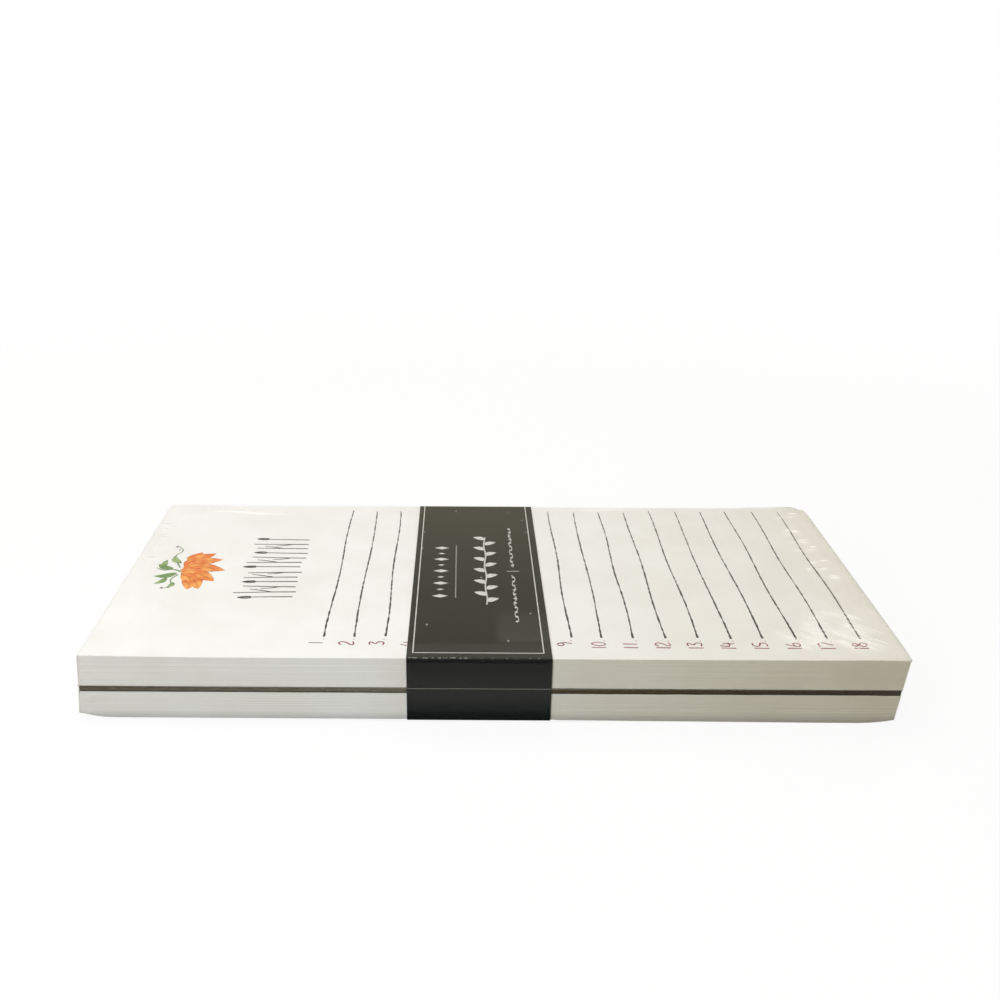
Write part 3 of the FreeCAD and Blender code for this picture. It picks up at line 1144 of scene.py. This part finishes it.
def end_face(side, z):
    """X of the film's end face at a height, on side 1, the foot, or -1, the head."""
    lean = stack_lean * max(0, z - lower_low.z)
    if side > 0:
        return lower_low.x + SHEET_LENGTH + FILM_GAP * 0.7 + lean
    return lower_low.x - 0.4 * MM - FILM_GAP * 0.7 + lean


def film_skin():
    """The film's form, straight from the band's edges to the pads' ends."""
    low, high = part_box("shrink_film")
    film = block("tight_shrink_film", (low.x, -1, 0), (high.x, 1, 1))
    cut_through(
        (0, [low.x + place for place in (0.4 * MM, *FROM_END, 78 * MM)]),
        (0, [high.x - place for place in (0.4 * MM, *FROM_END, 80 * MM)]),
        (0, [band_low.x + (band_high.x - band_low.x) * step / 6 for step in range(7)]),
        (0, [band_low.x - BAND_SIDE, band_high.x + BAND_SIDE]),
        (1, [place / HALF_WIDTH - 1 for place in (0.4 * MM, *FROM_SIDE)]),
        (1, [1 - place / HALF_WIDTH for place in (0.4 * MM, *FROM_SIDE)]),
        (1, [0]),
        (2, [0.02, 0.06, 0.14, 0.28, 0.42, 0.5, 0.58, 0.72, 0.86, 0.94, 0.98]),
    )
    base = lower_low.z - FILM_GAP
    band_top = band_high.z + FILM_GAP * 0.8
    creases, shines, tints = [], [], []
    for corner in film.data.vertices:
        x, across, up = corner.co
        if x < band_low.x:
            reach = (x - low.x) / (band_low.x - low.x)
        else:
            reach = min(1, (high.x - x) / (high.x - band_high.x))
        end_top = page_top + 0.5 * MM + FILM_GAP if x < 0 else high.z - 0.02 * MM
        top = end_top + (band_top - end_top) * reach
        bottom = base * (1 - reach**8)
        half = HALF_WIDTH + FILM_GAP + (band_high.y - HALF_WIDTH) * reach**2
        z = bottom + (top - bottom) * up
        along = (x - low.x) / (high.x - low.x)
        place = end_face(-1, z) + (end_face(1, z) - end_face(-1, z)) * along
        y = half * across
        z -= corner_tuck(place, y, UPPER_SHAPE) * up
        z += (corner_tuck(place, y, LOWER_SHAPE) - hang(x, LOWER_SHAPE) * 0.97) * (1 - up)
        corner.co = (place, y, max(0, z))
        from_foot = max(0, high.x - x) / MM
        # Haze along the foot edge and at the far foot corner; its broad 20 mm part greys the pages
        # toward the foot as painted shade.
        rim = 0.18 * max(0, 1 - from_foot / 3) ** 2 + 0.3 * max(0, 1 - from_foot / 20)
        from_far = math.hypot(from_foot, (HALF_WIDTH - abs(y)) / MM if y > 0 else 99)
        haze = 0.2 * max(0, 1 - from_far / 16) ** 2
        creases.append((rim + haze) * (1 if up > 0.97 else 0.15))
        over_band = band_low.x - 0.1 * MM < x < band_high.x + 0.1 * MM
        tints.append(1 if over_band and up > 0.99 else 0)
        shines.append(0.45 if tints[-1] else 0 if up < 0.03 else min(1, up * 2.2))
    write_share(film, "crease", creases)
    write_share(film, "shine", shines)
    write_share(film, "over_print", tints)
    return film


def stress_marks(folds, crease):
    """Give a set of folds its whitening, and the sharp ones their painted highlight."""
    for name, share in (("crease", crease), ("shine", 1), ("over_print", 0)):
        write_share(folds, name, [share] * len(folds.data.vertices))
    return folds


def corner_wrinkles(seed, centre, rows, spacing, spread_along):
    """Fine wrinkles in slanting rows, by the foot's near corner."""
    vary = random.Random(seed).uniform
    along = Vector((math.cos(math.radians(-42)), math.sin(math.radians(-42))))
    across = Vector((-along.y, along.x))
    strokes = []
    for row in range(rows):
        spread = (row - (rows - 1) / 2) * spacing
        for _ in range(2):
            middle = Vector(centre) + across * (spread + vary(-0.3, 0.3))
            middle += along * vary(-spread_along, spread_along)
            half = along * vary(2.2, 5)
            bow = across * vary(-0.25, 0.25)
            start, bent, end = middle - half, middle + bow, middle + half
            if end.x < 116.5 and end.y > -52.5:
                strokes.append([(*start, 0.3), (*bent, 1), (*end, 0.2)])
    return strokes


def edge_puckers(count, x_low, x_high, y_low, y_high, seed):
    """Short folds that run in from an end's edge, along the pack."""
    vary = random.Random(seed).uniform
    strokes = []
    for _ in range(count):
        x = vary(x_low, x_high)
        y = vary(y_low, y_high)
        length = vary(1.8, 4)
        slant = vary(-0.35, 0.35)
        middle, end = (x + length / 2, y + slant, 1), (x + length, y + slant * 1.4, 0.3)
        strokes.append([(x, y, 0.4), middle, end])
    return strokes


def end_pleats(side, seed):
    """Gathers up and down from an end's seam, and folds at its corners."""
    chance = random.Random(seed)
    vary = chance.uniform
    strokes = []
    seam = seam_z / MM
    y = -50
    while y < 50:
        for way in (-1, 1):
            start = seam + way * 0.4
            length = vary(2.5, 8) if chance.random() < 0.75 else vary(1, 2)
            sway = vary(-0.9, 0.9)
            middle = (start + way * length / 2, y + sway * 0.3, 0.9)
            strokes.append([(start, y, 1.1), middle, (start + way * length, y + sway, 0.25)])
        y += vary(3.5, 9)
    for corner in (-1, 1):
        for way in (-1, 1):
            for share in (0.55, 0.9):
                middle = (seam + way * 4 * share, corner * 51.2, 1)
                end = (seam + way * 8.6 * share, corner * 46.5, 0.3)
                strokes.append([(seam + way * 0.5, corner * 53.2, 1.2), middle, end])
    piece = pen_strokes("end_pleats", in_metres(strokes), 0.3 * MM, thickness=0.25)
    for corner in piece.data.vertices:
        z, y, out = corner.co
        corner.co = (end_face(side, z) + side * (out - 0.02 * MM), y, z)
    return stress_marks(piece, 0.42)


def film_seam():
    """The weld: a flat bead along the margin side and round both ends."""
    bead = 0.2 * MM
    near_band = band_low.y - FILM_GAP - bead / 2
    head, foot = end_face(-1, seam_z) - 0.02 * MM, end_face(1, seam_z) + 0.02 * MM
    near, far = -54 * MM, 53.9 * MM
    places = ((head, far), (head, near), (band_low.x, near_band))
    places += ((band_high.x, near_band), (foot, near), (foot, far))
    path = [(*place, 1) for place in places]
    seam = pen_strokes("film_seam", [path], bead, thickness=1.4, smooth=False)
    seam.data.transform(Matrix.Translation((0, 0, seam_z)))
    return stress_marks(seam, 0.14)


def on_film(name, strokes, width, crease):
    """Folds laid on top of the film, in millimetres."""
    folds = pen_strokes(name, in_metres(strokes), width * MM, thickness=0.1)
    lay_on(folds, film_body, band_high.z, lift=0.01 * MM)
    return stress_marks(folds, crease)


FILM_SPECKS = (
    *((-21.5, 30.5), (-21.8, 17), (-10.5, 49), (-2, -4.5), (8.5, 47.5), (13.4, 41)),
    *((14.2, 30.6), (-18.7, -35.5), (5.2, -44.8), (12.6, -28.4), (40.3, 12.6), (-60.2, -30.4)),
)
seam_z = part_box("upper_backing_board")[1].z
film_body = film_skin()
specks = [[(x, y, 1), (x + 0.35, y + 0.5, 0.4)] for x, y in FILM_SPECKS]
LONG_FOLDS = (
    ((-101, 48.6, 0.3), (-90, 48.2, 1), (-79, 46.6, 0.3)),
    ((-90, 46.6, 0.3), (-80, 46.8, 1), (-71, 45.8, 0.3)),
    ((30, 51.5, 0.3), (44, 52.2, 0.9), (58, 52, 0.3)),
)
folds = [
    on_film("wide_wrinkles", corner_wrinkles(57, (99, -37), 14, 2, 7), 0.3, 0.62),
    on_film("close_wrinkles", corner_wrinkles(67, (109, -43), 9, 1.7, 4), 0.3, 0.9),
    on_film("foot_puckers", edge_puckers(20, 105, 112.5, -10, 50, 58), 0.52, 0.95),
    on_film("head_puckers", edge_puckers(7, -117, -113, -10, 40, 59), 0.34, 0.2),
    on_film("long_folds", LONG_FOLDS, 0.5, 0.56),
    on_film("specks", specks, 0.4, 0.6),
    end_pleats(1, 61),
    end_pleats(-1, 62),
    film_seam(),
]
film = join_pieces("tight_shrink_film", [film_body, *folds])
smooth_shade(film, 30)
film.visible_shadow = False
belongs(film, clear_film(), "clear_film", "shrink_film")
